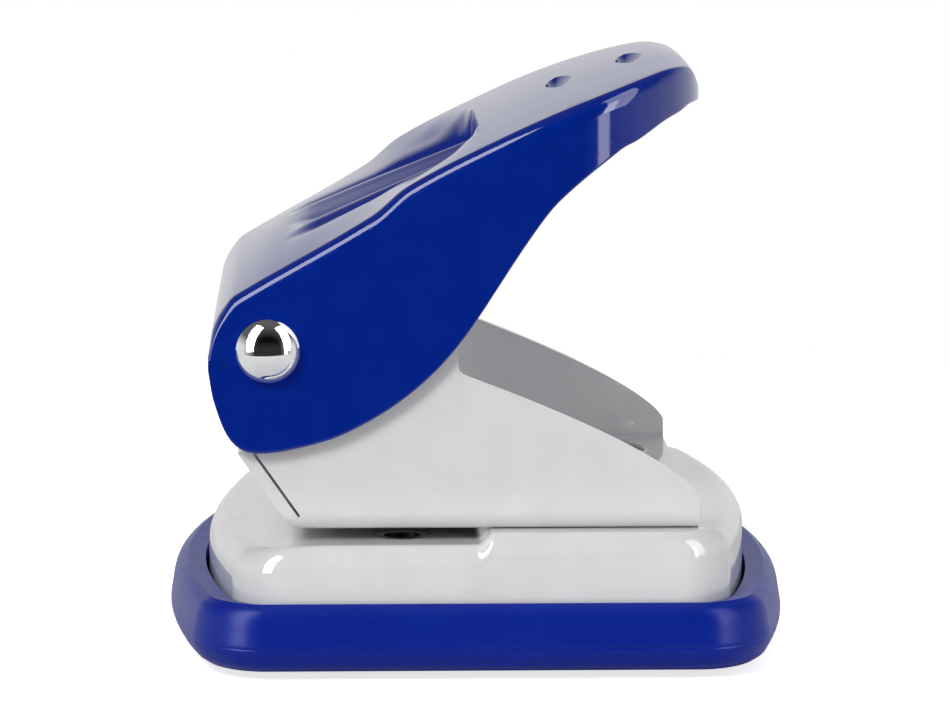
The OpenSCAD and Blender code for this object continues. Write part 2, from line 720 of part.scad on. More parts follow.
// Pin: domed head, clip groove and a cutting end with a round notch across it
module punch_pin(side) {
    notch_r = ((hole_d / 2) ^ 2 + pin_notch ^ 2) / (2 * pin_notch);
    chamfer = 0.8;
    steel() at_hole(side) difference() {
        rotate_extrude() polygon([
            [0, pin_tip], [hole_d / 2, pin_tip], [hole_d / 2, clip_z], [pin_groove_d / 2, clip_z],
            [pin_groove_d / 2, clip_z + clip_t + clip_gap], [hole_d / 2, clip_z + clip_t + clip_gap],
            [hole_d / 2, pin_top - chamfer], [hole_d / 2 - chamfer, pin_top], [0, pin_top]
        ]);
        translate([0, 0, pin_tip + pin_notch - notch_r]) rotate([90, 0, 0])
            cylinder(r = notch_r, h = 2 * hole_d, center = true);
    }
}

// Clip: an open ring that is pushed into the pin groove from the front
module retaining_clip(side) {
    mouth = pin_groove_d * 0.8;
    steel() at_hole(side) translate([0, 0, clip_z]) difference() {
        ring(clip_d, pin_groove_d + 2 * run_gap, clip_t);
        translate([0, -mouth / 2, -cut]) cube([clip_d, mouth, clip_t + 2 * cut]);
    }
}

module spring_washer(side) {
    steel() at_hole(side) translate([0, 0, washer_z]) ring(washer_d, hole_d + 2 * run_gap, washer_t);
}

// Return spring: one unbroken wire that winds up from the bush to the washer
SPRING_RINGS = 8;
WIRE_SIDES = 6;
spring_low = bush_top + wire_d / 2;
spring_high = washer_z - wire_d / 2;
function spring_rise(turn) =
    let (dead = 0.75, closed = 0.06, live = spring_turns - 2 * dead)
    spring_low + (spring_high - spring_low) * (
        turn < dead ? closed * turn / dead
        : turn > spring_turns - dead ? 1 - closed * (spring_turns - turn) / dead
        : closed + (1 - 2 * closed) * (turn - dead) / live
    );
function spring_pt(turn) = [
    spring_d / 2 * cos(360 * turn), spring_d / 2 * sin(360 * turn), spring_rise(turn)
];
spring_steps = spring_turns * SPRING_RINGS;
spring_core = [for (k = [0 : spring_steps]) spring_pt(k / SPRING_RINGS)];
function wire_ring(k) =
    let (turn = 360 * k / SPRING_RINGS, c = spring_core[k], out = [cos(turn), sin(turn), 0])
    [for (s = [0 : WIRE_SIDES - 1])
        let (a = 360 * s / WIRE_SIDES)
        c + wire_d / 2 * (cos(a) * out + sin(a) * [0, 0, 1])];
spring_gap = min([
    for (i = [0 : spring_steps - SPRING_RINGS / 2]) for (j = [i + SPRING_RINGS / 2 : spring_steps])
        norm(spring_core[i] - spring_core[j]) - wire_d
]);
echo(spring_least_gap_mm = spring_gap);

module return_spring(side) {
    rings = [for (k = [0 : spring_steps]) wire_ring(k)];
    steel() at_hole(side) solid_of_rings(rings, WIRE_SIDES);
}

chip_tray();
base_pan();
frame();
frame_rivets();
lever();
press_bar();
pivot_shaft();
for (side = SIDES) {
    pivot_cap(side);
    pivot_washer(side);
    die(side);
    guide_bush(side);
    pin_bracket(side);
    punch_pin(side);
    retaining_clip(side);
    spring_washer(side);
    return_spring(side);
}
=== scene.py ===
import math

import bmesh
import bpy
from mathutils import Matrix, Vector


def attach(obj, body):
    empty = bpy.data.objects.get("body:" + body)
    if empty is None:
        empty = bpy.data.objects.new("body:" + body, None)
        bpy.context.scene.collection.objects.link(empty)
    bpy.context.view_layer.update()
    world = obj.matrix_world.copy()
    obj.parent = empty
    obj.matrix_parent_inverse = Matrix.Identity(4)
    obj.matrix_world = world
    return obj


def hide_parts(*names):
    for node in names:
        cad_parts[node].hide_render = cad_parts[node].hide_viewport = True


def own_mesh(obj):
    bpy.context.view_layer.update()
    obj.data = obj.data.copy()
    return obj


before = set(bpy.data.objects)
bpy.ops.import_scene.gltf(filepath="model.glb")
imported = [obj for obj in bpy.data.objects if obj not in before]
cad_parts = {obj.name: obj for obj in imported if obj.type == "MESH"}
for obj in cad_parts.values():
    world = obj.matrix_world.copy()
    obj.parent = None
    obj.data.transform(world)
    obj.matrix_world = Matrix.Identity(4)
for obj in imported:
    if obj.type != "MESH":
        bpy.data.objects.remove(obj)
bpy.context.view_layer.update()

# Sizes in millimetres, in the shared frame: X to the lever tip, Y along the pivot shaft, Z up
MM = 0.001
SIDES = {"near": -1, "far": 1}
HOLE_X = -13.1
HOLE_Y = 40.0

# Base: the paper table, the step that stops the paper and the slope that leads it in
TABLE_Z = 21.4
STOP_X = -1.1
STOP_RUN = 3.0
LEAD_X = -26.0
LEAD_RUN = 20.0
LEAD_FALL = 2.2
PAN_HALF_L = 46.0
PAN_HALF_W = 54.0
PAN_CORNER = 9.0
PAN_EDGE = 4.0
PAN_BOW = 10.5
BOW_FROM = 0.35
PAN_SHEET = 1.5
PAN_FOOT = 1.6
PAN_EDGE_STEPS = 12
DIE_NECK_D = 9.3
DIE_BORE_L = 8.0

# Tray: its skirt as height and inset, the foot set in under its lower edge, and the parting line
TRAY_HALF_L = 52.6
TRAY_HALF_W = 58.0
TRAY_CORNER = 12.0
TRAY_BOW = 9.3
TRAY_H = 12.4
TRAY_LIFT = 1.25
TRAY_FOOT_IN = (9.5, 12.5)
TRAY_FOOT_CORNER = 4.0
TRAY_FLOOR = 1.6
TRAY_GAP = 0.6
TRAY_RIM_FALL = 0.4
TRAY_SKIRT = [
    (TRAY_LIFT, 2.9), (2.2, 1.4), (3.2, 0.7), (4.3, 0.2), (5.4, 0),
    (7.5, 0.3), (10.2, 0.8), (11.5, 1.6), (TRAY_H, 3),
]
PARTING_Z = 5.3
PARTING_W = 0.16
PARTING_DEPTH = 0.12

# Points along the outlines of base and tray
END_STEPS = 8
CORNER_STEPS = 18
STOP_STEPS = 10
STOP_MARGINS = (4, 12)

# Frame
FLOOR_Z = 23.4
FRAME_SHEET = 2.0
FRAME_HALF_W = 48.0
FOLD_R = 3.0
FOLD_STEPS = 10
FLAT_DEGREES = 0.4
CUT_DEGREES = 50
BROKEN_EDGE = 0.28

# Pivot and its caps
PIVOT_X = -35.1
PIVOT_Z = 53.7
SHAFT_D = 6.0
SHAFT_PLAY = 0.1
SHAFT_BORE_L = 105.0
CAP_D = 10.4
CAP_H = 4.2
CAP_LEAN = 58
CAP_SEAT = 50.55

# Lever: heights over X, measured from the pivot
LEVER_SHEET = 1.4
LEVER_EDGE = 3.0
LEVER_HALF_W = 50.5
LEVER_TOP = [
    (-9.8, -1.2), (-9, 3.4), (-6.7, 7.5), (-5.2, 8.9), (16.8, 21.6), (22.8, 26.5),
    (37.8, 34.2), (49.8, 39.4), (64.9, 44.4), (69.6, 44.6), (71.2, 43.4), (72.9, 40),
]
LEVER_FOOT = [
    (-9.8, -3.6), (-9, -8.2), (-6.6, -14.4), (-3, -17), (5.2, -16.2), (13.4, -13.5),
    (23.2, -7.4), (31.3, 0.8), (42.8, 17.9), (47.7, 24.1), (57.9, 32.2), (60.8, 33.6),
    (65.6, 36.4), (68.5, 37.5), (70.5, 38.4), (72.9, 38.2),
]
LEVER_TAIL = LEVER_TOP[0][0]
LEVER_TIP = LEVER_TOP[-1][0]
NOSE_L = 37.4
NOSE_BLUNT = 0.3
NOSE_POWER = 2.7
CROWN_H = 1.9
RECESS_TAIL = 2.0
RECESS_END = 35.5
RECESS_WALL = 0.5
DISH_FADE = 0.55
RIB_START = (7.0, 17.7)
RIB_SLOPE = 0.42
GRIP_RUN = 4.0
GRIP_CROWN = 0.8
FLUTE_FULL = 9.0
FLUTE_DEPTH = 2.0
GROOVE_AT = [49.6, 61.6]
GROOVE_W = 4.4
GROOVE_L = 20.0
GROOVE_DEPTH = 1.6
GROOVE_LENS = 1.5
GROOVE_ROUND = 0.6
# The flange: its broken foot, and the least rounding of its upper edge where the lever gets low
FOOT_EDGE = 0.4
FOOT_ROUND = 0.3
FLANGE_FROM = 1.2
EDGE_SHARE = 0.45
EDGE_LEAST = 0.2
EDGE_HOLD = 0.02
# Lines along the lever: three on the slope to the recess, flute, rib and middle flute
LINES_TAIL = [40, 33, 27, 22, 16, 11, 5.5, 0]
LINES_TIP = [36, 24, 16, 13, 9.8, 6.5, 3.3, 0]
LINES_GRIP = [30, 11, 10, 8.5, 6.5, 4.5, 2.5, 0]
LINE_SHARE = [0.25, 0.5, 0.72, 1, 1, 1, 1, 1]
LINE_FLUTE = [0, 0, 0.1, 0.55, 0, 0.3, 0.65, 1]
FLUTE_LINE = 3
LINES = len(LINES_TAIL)
# Sections along the lever: close at both ends, at the grooves and at the wall of the recess
TAIL_STEPS = (0, 0.12, 0.3, 0.5, 0.75, 1.05, LEVER_SHEET, 1.8, 2.3, 2.9, 3.6, 4.4, 5.3, 6.3, 7.5)
TIP_STEPS = (0, 0.1, 0.25, 0.45, 0.7, 1.0, LEVER_SHEET, 1.8, 2.3, 2.9, 3.6, 4.4, 5.3, 6.3)
EVEN_FROM = 8.5
EVEN_TO = 7.0
EVEN_STEP = 0.8
FINE_STEP = 0.1
GROOVE_MARGIN = 0.6
WALL_MARGIN = 1.2
# Points across one section: up the flange, round its edge and from line to line
FLANGE_STEPS = 4
EDGE_STEPS = 8
LINE_STEPS = 4

# Springs: the end coils lie closed and climb only a small share of the height
SPRING_LOW = 27.4
SPRING_HIGH = 46.3
SPRING_D = 8.4
WIRE_D = 1.0
SPRING_TURNS = 6
CLOSED_TURNS = 0.75
CLOSED_CLIMB = 0.06

# Rivets: shank and set end as shares of the head's radius
RIVET_X = [13.8, 27.8]
RIVET_Y = 28.0
RIVET_HEAD_R = 4.0
RIVET_HEAD_H = 1.4
RIVET_SHANK = 0.5
RIVET_SET = 0.8

# Tolerances in metres
MERGE_DIST = 1e-7
THIN_DIST = 1e-8
SEAM_DIST = 2e-6


# Small helpers

def smooth(t):
    t = min(max(t, 0.0), 1.0)
    return t * t * (3 - 2 * t)


def ramp(x, start, end):
    return min(max((x - start) / (end - start), 0.0), 1.0)


def quarter_turn(steps):
    return [math.pi / 2 * k / steps for k in range(steps + 1)]


def at_height(points, z):
    return [(x, y, z) for x, y in points]


def curve_at(points, x):
    """Height at x on the smooth curve through the points."""
    last = len(points) - 1
    i = 0
    while i < last - 1 and x >= points[i + 1][0]:
        i += 1

    def rise(k):
        a = points[max(k - 1, 0)]
        b = points[min(k + 1, last)]
        return (b[1] - a[1]) / (b[0] - a[0])

    (x0, y0), (x1, y1) = points[i], points[i + 1]
    h = x1 - x0
    t = (x - x0) / h
    return (
        (2 * t**3 - 3 * t**2 + 1) * y0 + (t**3 - 2 * t**2 + t) * h * rise(i)
        + (3 * t**2 - 2 * t**3) * y1 + (t**3 - t**2) * h * rise(i + 1)
    )


def new_object(name, mesh):
    obj = bpy.data.objects.new(name, mesh)
    bpy.context.scene.collection.objects.link(obj)
    return obj


def outwards(obj):
    """Merges doubles and turns every face outwards."""
    bm = bmesh.new()
    bm.from_mesh(obj.data)
    bmesh.ops.remove_doubles(bm, verts=bm.verts, dist=MERGE_DIST)
    bmesh.ops.dissolve_degenerate(bm, dist=THIN_DIST, edges=bm.edges)
    bmesh.ops.recalc_face_normals(bm, faces=bm.faces)
    bm.to_mesh(obj.data)
    bm.free()


def mesh_piece(name, verts, faces):
    """Closed mesh from points in millimetres, with its faces outwards."""
    mesh = bpy.data.meshes.new(name)
    mesh.from_pydata([tuple(c * MM for c in v) for v in verts], [], faces)
    mesh.validate()
    obj = new_object(name, mesh)
    outwards(obj)
    return obj


def settle(obj):
    """Bakes the object's modifiers into its mesh."""
    depsgraph = bpy.context.evaluated_depsgraph_get()
    mesh = bpy.data.meshes.new_from_object(obj.evaluated_get(depsgraph))
    obj.modifiers.clear()
    obj.data = mesh


def shade(obj, degrees=32):
    """Smooth shading with sharp edges kept and flat faces left flat."""
    obj.data.shade_smooth()
    obj.data.set_sharp_from_angle(angle=math.radians(degrees))
    even = obj.modifiers.new("even_normals", "WEIGHTED_NORMAL")
    even.keep_sharp = True
    settle(obj)


def boolean(obj, tool, operation):
    """Cuts the tool out of the object, or keeps what lies inside it, and removes the tool."""
    cut = obj.modifiers.new("cut", "BOOLEAN")
    cut.operation = operation
    cut.solver = "EXACT"
    cut.object = tool
    settle(obj)
    bpy.data.objects.remove(tool)


def bored(obj, places, axis, diameter, length):
    """Cuts round bores at the places, in millimetres, along axis Y or Z."""
    radius = diameter / 2 * MM
    turn = Matrix.Rotation(math.pi / 2, 4, "X") if axis == "Y" else Matrix()
    bm = bmesh.new()
    for place in places:
        bmesh.ops.create_cone(
            bm, cap_ends=True, segments=64, radius1=radius, radius2=radius, depth=length * MM,
            matrix=Matrix.Translation(Vector(place) * MM) @ turn,
        )
    mesh = bpy.data.meshes.new("bore_cutter")
    bm.to_mesh(mesh)
    bm.free()
    boolean(obj, new_object("bore_cutter", mesh), "DIFFERENCE")


def finish_piece(obj, material, body, slot, *nodes):
    obj.data.materials.clear()
    obj.data.materials.append(material)
    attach(obj, body)
    if nodes:
        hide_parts(*nodes)


class Nodes:
    """Shorthand for laying out one node tree."""

    def __init__(self, tree):
        self.tree = tree

    def add(self, kind, values=None, **settings):
        """New node; each value sets an input, or is a socket that is linked to it."""
        made = self.tree.nodes.new(kind)
        for key, value in settings.items():
            setattr(made, key, value)
        for key, value in (values or {}).items():
            if isinstance(value, bpy.types.NodeSocket):
                self.tree.links.new(value, made.inputs[key])
            else:
                made.inputs[key].default_value = value
        return made

    def maths(self, operation, a, b):
        return self.add("ShaderNodeMath", {0: a, 1: b}, operation=operation).outputs[0]

    def span(self, value, start, end, low, high):
        """Goes from low to high while the value goes from start to end."""
        return self.add("ShaderNodeMapRange", {0: value, 1: start, 2: end, 3: low, 4: high}).outputs[0]

    def mix(self, share, a, b):
        return self.add("ShaderNodeMix", {0: share, 2: a, 3: b}, data_type="FLOAT").outputs[0]

    def vector(self, **parts):
        return self.add("ShaderNodeCombineXYZ", parts).outputs[0]


# Materials

# Noise values outside this span count as its ends
NOISE_SPAN = (0.3, 0.7)


class Finish(Nodes):
    """One procedural material: a principled shader with its nodes laid out by the calls."""

    def __init__(self, name):
        self.material = bpy.data.materials.new(name)
        self.material.use_nodes = True
        super().__init__(self.material.node_tree)
        self.shader = self.tree.nodes["Principled BSDF"]
        self.place = self.add("ShaderNodeTexCoord").outputs["Object"]

    def set(self, **values):
        for key, value in values.items():
            self.shader.inputs[key.replace("_", " ")].default_value = value

    def feed(self, key, socket):
        self.tree.links.new(socket, self.shader.inputs[key])

    def stretched(self, scale):
        return self.add("ShaderNodeMapping", {"Vector": self.place, "Scale": scale}).outputs["Vector"]

    def noise(self, scale, detail, rough=0.5, place=None):
        return self.add("ShaderNodeTexNoise", {
            "Vector": place or self.place, "Scale": scale, "Detail": detail, "Roughness": rough,
        }).outputs["Fac"]

    def colours(self, fac, low, high):
        made = self.add("ShaderNodeValToRGB", {"Fac": fac})
        for stop, position, colour in zip(made.color_ramp.elements, NOISE_SPAN, (low, high)):
            stop.position = position
            stop.color = (*colour, 1)
        self.feed("Base Color", made.outputs["Color"])

    def rough(self, fac, low, high):
        self.feed("Roughness", self.span(fac, *NOISE_SPAN, low, high))

    def bump(self, fac, height_mm, strength=1.0):
        made = self.add("ShaderNodeBump", {"Height": fac, "Distance": height_mm * MM, "Strength": strength})
        self.feed("Normal", made.outputs["Normal"])


def enamel(name, low, high, coat):
    """Stoved enamel on sheet steel: even colour, a wet gloss and a faint orange peel."""
    paint = Finish(name)
    paint.colours(paint.noise(scale=160, detail=4), low, high)
    paint.rough(paint.noise(scale=900, detail=2), low=0.05, high=0.10)
    paint.bump(paint.noise(scale=420, detail=2, rough=0.4), height_mm=0.006)
    paint.set(IOR=1.5, Coat_Weight=coat, Coat_Roughness=0.03)
    return paint.material


def moulded_plastic(name, low, high):
    """Moulded tray plastic: satin, with a fine spark grain and soft flow clouds."""
    plastic = Finish(name)
    plastic.colours(plastic.noise(scale=70, detail=5), low, high)
    plastic.rough(plastic.noise(scale=350, detail=2), low=0.30, high=0.34)
    plastic.bump(plastic.noise(scale=1500, detail=1), height_mm=0.002, strength=0.6)
    plastic.set(IOR=1.49, Specular_IOR_Level=0.2)
    return plastic.material


def bright_plating(name, low, high):
    """Polished chrome: a mirror with the faintest polishing haze."""
    plating = Finish(name)
    plating.colours(plating.noise(scale=500, detail=3), low, high)
    plating.rough(plating.noise(scale=1800, detail=3), low=0.03, high=0.07)
    plating.bump(plating.noise(scale=700, detail=2), height_mm=0.002)
    plating.set(Metallic=1.0)
    return plating.material


def bare_metal(name, low, high, rough, stretch, scale, height_mm):
    """Worked steel: stretched tool marks, tarnish clouds and uneven polish."""
    metal = Finish(name)
    marks = metal.noise(scale, detail=4, rough=0.6, place=metal.stretched(stretch))
    metal.colours(metal.noise(scale=240, detail=5), low, high)
    metal.rough(marks, *rough)
    metal.bump(marks, height_mm)
    metal.set(Metallic=1.0)
    return metal.material


blue_enamel = enamel("blue_enamel", (0.000, 0.0150, 0.235), (0.001, 0.0190, 0.262), coat=0.0)
white_enamel = enamel("white_enamel", (0.735, 0.735, 0.730), (0.775, 0.775, 0.770), coat=0.4)
tray_plastic = moulded_plastic("tray_plastic", (0.000, 0.014, 0.260), (0.001, 0.018, 0.290))
chrome = bright_plating("chrome_plating", (0.86, 0.87, 0.89), (0.93, 0.93, 0.94))
zinc_steel = bare_metal(
    "zinc_plated_steel", (0.56, 0.57, 0.58), (0.68, 0.68, 0.68),
    rough=(0.28, 0.42), stretch=(1, 1, 1), scale=900, height_mm=0.006,
)
turned_steel = bare_metal(
    "turned_steel", (0.50, 0.50, 0.51), (0.62, 0.62, 0.62),
    rough=(0.16, 0.30), stretch=(1, 0.02, 1), scale=2200, height_mm=0.004,
)
ground_steel = bare_metal(
    "ground_tool_steel", (0.40, 0.40, 0.41), (0.52, 0.52, 0.53),
    rough=(0.12, 0.24), stretch=(0.1, 0.1, 1), scale=3000, height_mm=0.003,
)
spring_wire = bare_metal(
    "drawn_spring_wire", (0.30, 0.30, 0.31), (0.44, 0.44, 0.45),
    rough=(0.22, 0.36), stretch=(1, 1, 6), scale=1200, height_mm=0.003,
)


# Base and tray

def half_outline(a, b, r, bow):
    """Half of the outline seen from above, from the middle of one end along the near side to the other."""
    def end_bow(x, y):
        return x - math.copysign(bow * max(0.0, abs(x) / PAN_HALF_L - BOW_FROM) * (y / b) ** 2, x)

    left = [(-a, -k / END_STEPS * (b - r)) for k in range(END_STEPS)]
    left += [(r - a - r * math.cos(t), r - b - r * math.sin(t)) for t in quarter_turn(CORNER_STEPS)]
    right = [(-x, y) for x, y in reversed(left)]
    side = [LEAD_X] + [STOP_X - d for d in reversed(STOP_MARGINS)]
    side += [STOP_X + STOP_RUN * k / STOP_STEPS for k in range(STOP_STEPS + 1)]
    side += [STOP_X + STOP_RUN + d for d in STOP_MARGINS]
    bowed = [(end_bow(x, y), y) for x, y in left]
    return bowed + [(x, -b) for x in side] + [(end_bow(x, y), y) for x, y in right]


def outline(a, b, r, bow):
    """Closed outline; the point k and the point -k face each other across the middle plane."""
    near = half_outline(a, b, r, bow)
    return near + [(x, -y) for x, y in reversed(near[1:-1])]


def skin(rings):
    """Quads between rings of equal length."""
    n = len(rings[0])
    return [
        (r * n + k, r * n + (k + 1) % n, (r + 1) * n + (k + 1) % n, (r + 1) * n + k)
        for r in range(len(rings) - 1) for k in range(n)
    ]


def lid(first, n):
    """Strips from each point of a ring to the one that faces it."""
    half = n // 2
    faces = [(first, first + 1, first + n - 1)]
    faces += [(first + k, first + k + 1, first + n - k - 1, first + n - k) for k in range(1, half - 1)]
    return faces + [(first + half - 1, first + half, first + half + 1)]


def ringed_piece(name, rings):
    """Mesh over the rings with a lid on the first and the last one."""
    n = len(rings[0])
    verts = [p for ring in rings for p in ring]
    return mesh_piece(name, verts, skin(rings) + lid(0, n) + lid(len(verts) - n, n))


def pan_level(x):
    lead = LEAD_FALL * (max(0.0, LEAD_X - x) / LEAD_RUN) ** 2
    return TABLE_Z - lead + (FLOOR_Z - TABLE_Z) * smooth((x - STOP_X) / STOP_RUN)


def pan_outline(inset):
    return outline(PAN_HALF_L - inset, PAN_HALF_W - inset, PAN_CORNER - inset, PAN_BOW)


def pan_ring(inset, drop):
    return [(x, y, pan_level(x) - drop) for x, y in pan_outline(inset)]


def pan_skin(sheet):
    """Rings of the base's outer skin, or of its inner one a sheet deeper, from the foot over the edge."""
    edge = PAN_EDGE - sheet
    rings = [at_height(pan_outline(sheet), PAN_FOOT)]
    for t in quarter_turn(PAN_EDGE_STEPS):
        rings.append(pan_ring(sheet + edge * (1 - math.cos(t)), sheet + edge * (1 - math.sin(t))))
    return rings


def base_shell():
    shell = ringed_piece("base_shell", list(reversed(pan_skin(PAN_SHEET))) + pan_skin(0))
    dies = [(HOLE_X, sign * HOLE_Y, TABLE_Z) for sign in SIDES.values()]
    bored(shell, dies, "Z", DIE_NECK_D, DIE_BORE_L)
    shade(shell)
    return shell


def tray_moulding():
    height_steps = 26
    parting_steps = 4
    levels = [TRAY_LIFT + (TRAY_H - TRAY_LIFT) * k / height_steps for k in range(height_steps + 1)]
    levels += [PARTING_Z + PARTING_W * k / 2 for k in range(-parting_steps, parting_steps + 1)]
    foot_l, foot_w = TRAY_FOOT_IN
    foot = outline(TRAY_HALF_L - foot_l, TRAY_HALF_W - foot_w, TRAY_FOOT_CORNER, TRAY_BOW)
    rings = [at_height(foot, z) for z in (0, TRAY_LIFT)]
    for z in sorted(levels):
        parting = PARTING_DEPTH * math.exp(-(((z - PARTING_Z) / PARTING_W) ** 2))
        inset = max(curve_at(TRAY_SKIRT, z), 0) + parting
        edge = outline(TRAY_HALF_L - inset, TRAY_HALF_W - inset, TRAY_CORNER - inset, TRAY_BOW)
        rings.append(at_height(edge, z))
    well = outline(PAN_HALF_L + TRAY_GAP, PAN_HALF_W + TRAY_GAP, PAN_CORNER + TRAY_GAP, PAN_BOW)
    rings += [at_height(well, z) for z in (TRAY_H - TRAY_RIM_FALL, TRAY_FLOOR)]
    moulding = ringed_piece("tray_moulding", rings)
    shade(moulding)
    return moulding


# Lever

def lever_stations():
    """Places of the sections along the lever."""
    xs = [LEVER_TAIL + d for d in TAIL_STEPS]
    xs += [LEVER_TIP - d for d in TIP_STEPS]
    x = LEVER_TAIL + EVEN_FROM
    while x < LEVER_TIP - EVEN_TO:
        near_groove = min(abs(x - g) for g in GROOVE_AT) < GROOVE_W / 2 + GROOVE_MARGIN
        near_wall = abs(x - (RECESS_END - RECESS_WALL)) < WALL_MARGIN
        xs.append(x)
        x += FINE_STEP if near_wall or near_groove else EVEN_STEP
    return sorted(xs)


def line_y(k, x):
    """Distance of line k from the middle plane."""
    tail, tip, grip = LINES_TAIL[k], LINES_TIP[k], LINES_GRIP[k]
    recess = (tip - tail) * ramp(x, RECESS_TAIL, RECESS_END)
    return tail + recess + (grip - tip) * ramp(x, RECESS_END, RECESS_END + GRIP_RUN)


def rib_rise(x):
    """Height of the ribs over the lever's edges: a rear crown, then a straight line below the S-bend."""
    straight = RIB_START[1] + RIB_SLOPE * (x - RIB_START[0]) - curve_at(LEVER_TOP, x)
    return min(CROWN_H, straight) * ramp(x, LEVER_TAIL, 0)


def line_rise(k, y, x, flat_w):
    """Height of line k over the lever's edges: crown or fluted dish, then the crown of the grip."""
    rise = rib_rise(x)
    arch = 1 - (y / flat_w) ** 2
    flute = LINE_FLUTE[k] * FLUTE_DEPTH * smooth(ramp(x, RECESS_TAIL, FLUTE_FULL))
    wall = RECESS_WALL + DISH_FADE * max(0.0, y - LINES_TIP[FLUTE_LINE])
    inside = smooth((RECESS_END - x) / wall)
    dish = rise * (arch if rise > 0 else LINE_SHARE[k]) - flute
    return inside * dish + (1 - inside) * GRIP_CROWN * flat_w / LEVER_HALF_W * arch


def groove_sink(x, y):
    """Depth of the lens-shaped cross grooves."""
    deepest = 0.0
    for g in GROOVE_AT:
        left = 1 - abs((x - g) / (GROOVE_W / 2)) ** GROOVE_LENS - abs(y / (GROOVE_L / 2)) ** GROOVE_LENS
        if left > 0:
            deepest = max(deepest, GROOVE_DEPTH * left**GROOVE_ROUND)
    return deepest


def lever_half_w(x, sheet):
    start = LEVER_TIP + NOSE_BLUNT - NOSE_L
    t = ramp(x, start, start + NOSE_L - sheet)
    return (LEVER_HALF_W - sheet) * (1 - t**NOSE_POWER) ** (1 / NOSE_POWER)


def half_section(x, sheet):
    """Half a section of the pressed sheet, from the foot of the flange up and in to the middle line."""
    top = curve_at(LEVER_TOP, x) - sheet
    foot = curve_at(LEVER_FOOT, x)
    half_w = lever_half_w(x, sheet)
    r = max(min(LEVER_EDGE, EDGE_SHARE * (top + sheet - foot)) - sheet, EDGE_LEAST)
    flat_w = half_w - r
    broken = 0 if sheet else FOOT_EDGE
    rounded = FOOT_ROUND * broken
    start = foot + FLANGE_FROM * broken
    pts = [(half_w - broken, foot), (half_w - rounded, foot + rounded), (half_w, foot + broken)]
    pts += [(half_w, start + (top - r - start) * k / FLANGE_STEPS) for k in range(FLANGE_STEPS)]
    pts.append((half_w, top - r - EDGE_HOLD))
    pts += [(flat_w + r * math.cos(t), top - r * (1 - math.sin(t))) for t in quarter_turn(EDGE_STEPS)]
    ends = [min(line_y(k, x), flat_w * (1 - (k + 1) / LINES)) for k in range(LINES)]
    lines = [(y, line_rise(k, y, x, flat_w)) for k, y in enumerate(ends)]
    across = [(-lines[-2][0], lines[-2][1])] + lines[::-1] + [(flat_w, 0.0)]
    ends = [flat_w] + ends
    for y0, y1 in zip(ends, ends[1:]):
        for k in range(1, LINE_STEPS + 1):
            y = y0 + (y1 - y0) * k / LINE_STEPS
            pts.append((y, top + curve_at(across, y) - groove_sink(x, y)))
    return pts


def full_section(x, sheet):
    half = half_section(x, sheet)
    near = [(x + PIVOT_X, -y, z + PIVOT_Z) for y, z in half]
    far = [(x + PIVOT_X, y, z + PIVOT_Z) for y, z in reversed(half[:-1])]
    return near + far


def lever_shell():
    """Outer skin over the whole length, an inner skin one sheet inside it, and the rims between them."""
    xs = lever_stations()
    slack = 1e-6
    low = LEVER_TAIL + LEVER_SHEET - slack
    high = LEVER_TIP - LEVER_SHEET + slack
    inside = [k for k, x in enumerate(xs) if low <= x <= high]
    first, last = inside[0], inside[-1]
    outer = [full_section(x, 0) for x in xs]
    inner = [full_section(xs[k], LEVER_SHEET) for k in inside]
    n = len(outer[0])
    end = n - 1
    verts = [p for ring in outer + inner for p in ring]
    start = len(outer) * n

    def out_id(s, k):
        return s * n + k

    def in_id(s, k):
        return start + (s - first) * n + k

    faces = []
    for s in range(len(outer) - 1):
        faces += [
            (out_id(s, k), out_id(s, k + 1), out_id(s + 1, k + 1), out_id(s + 1, k)) for k in range(end)
        ]
    for s in range(first, last):
        faces += [(in_id(s, k), in_id(s + 1, k), in_id(s + 1, k + 1), in_id(s, k + 1)) for k in range(end)]
        faces.append((out_id(s, 0), out_id(s + 1, 0), in_id(s + 1, 0), in_id(s, 0)))
        faces.append((in_id(s, end), in_id(s + 1, end), out_id(s + 1, end), out_id(s, end)))
    # solid sheet at both ends, closed below by the foot rim
    for s in list(range(0, first - 1)) + list(range(last + 1, len(outer) - 1)):
        faces.append((out_id(s, 0), out_id(s + 1, 0), out_id(s + 1, end), out_id(s, end)))
    for at, beyond in ((first, first - 1), (last, last + 1)):
        faces.append((
            out_id(beyond, 0), out_id(at, 0), in_id(at, 0),
            in_id(at, end), out_id(at, end), out_id(beyond, end),
        ))
    half = n // 2
    for ring in (out_id(0, 0), out_id(len(outer) - 1, 0), in_id(first, 0), in_id(last, 0)):
        faces += [(ring + k, ring + k + 1, ring + end - 1 - k, ring + end - k) for k in range(half - 1)]
        faces.append((ring + half - 1, ring + half, ring + half + 1))
    shell = mesh_piece("lever_shell", verts, faces)
    bored(shell, [(PIVOT_X, 0, PIVOT_Z)], "Y", SHAFT_D + SHAFT_PLAY, SHAFT_BORE_L)
    shade(shell, degrees=38)
    return shell


# Frame, caps, springs and rivets

def fold_profile():
    """Long bar a hair larger than the frame's outer section; it rounds the ends of the rear lip."""
    hair = 0.002
    bar_top = 90.0
    bar_end = 80.0
    half = FRAME_HALF_W + hair
    low = FLOOR_Z - hair
    near = [
        (-half + FOLD_R * (1 - math.cos(t)), low + FOLD_R * (1 - math.sin(t)))
        for t in quarter_turn(FOLD_STEPS)
    ]
    section = [(-half, bar_top)] + near + [(-y, z) for y, z in reversed(near)] + [(half, bar_top)]
    verts = [(x, y, z) for x in (-bar_end, bar_end) for y, z in section]
    n = len(section)
    faces = skin([section, section]) + [tuple(range(n)), tuple(range(n, 2 * n))]
    return mesh_piece("fold_profile", verts, faces)


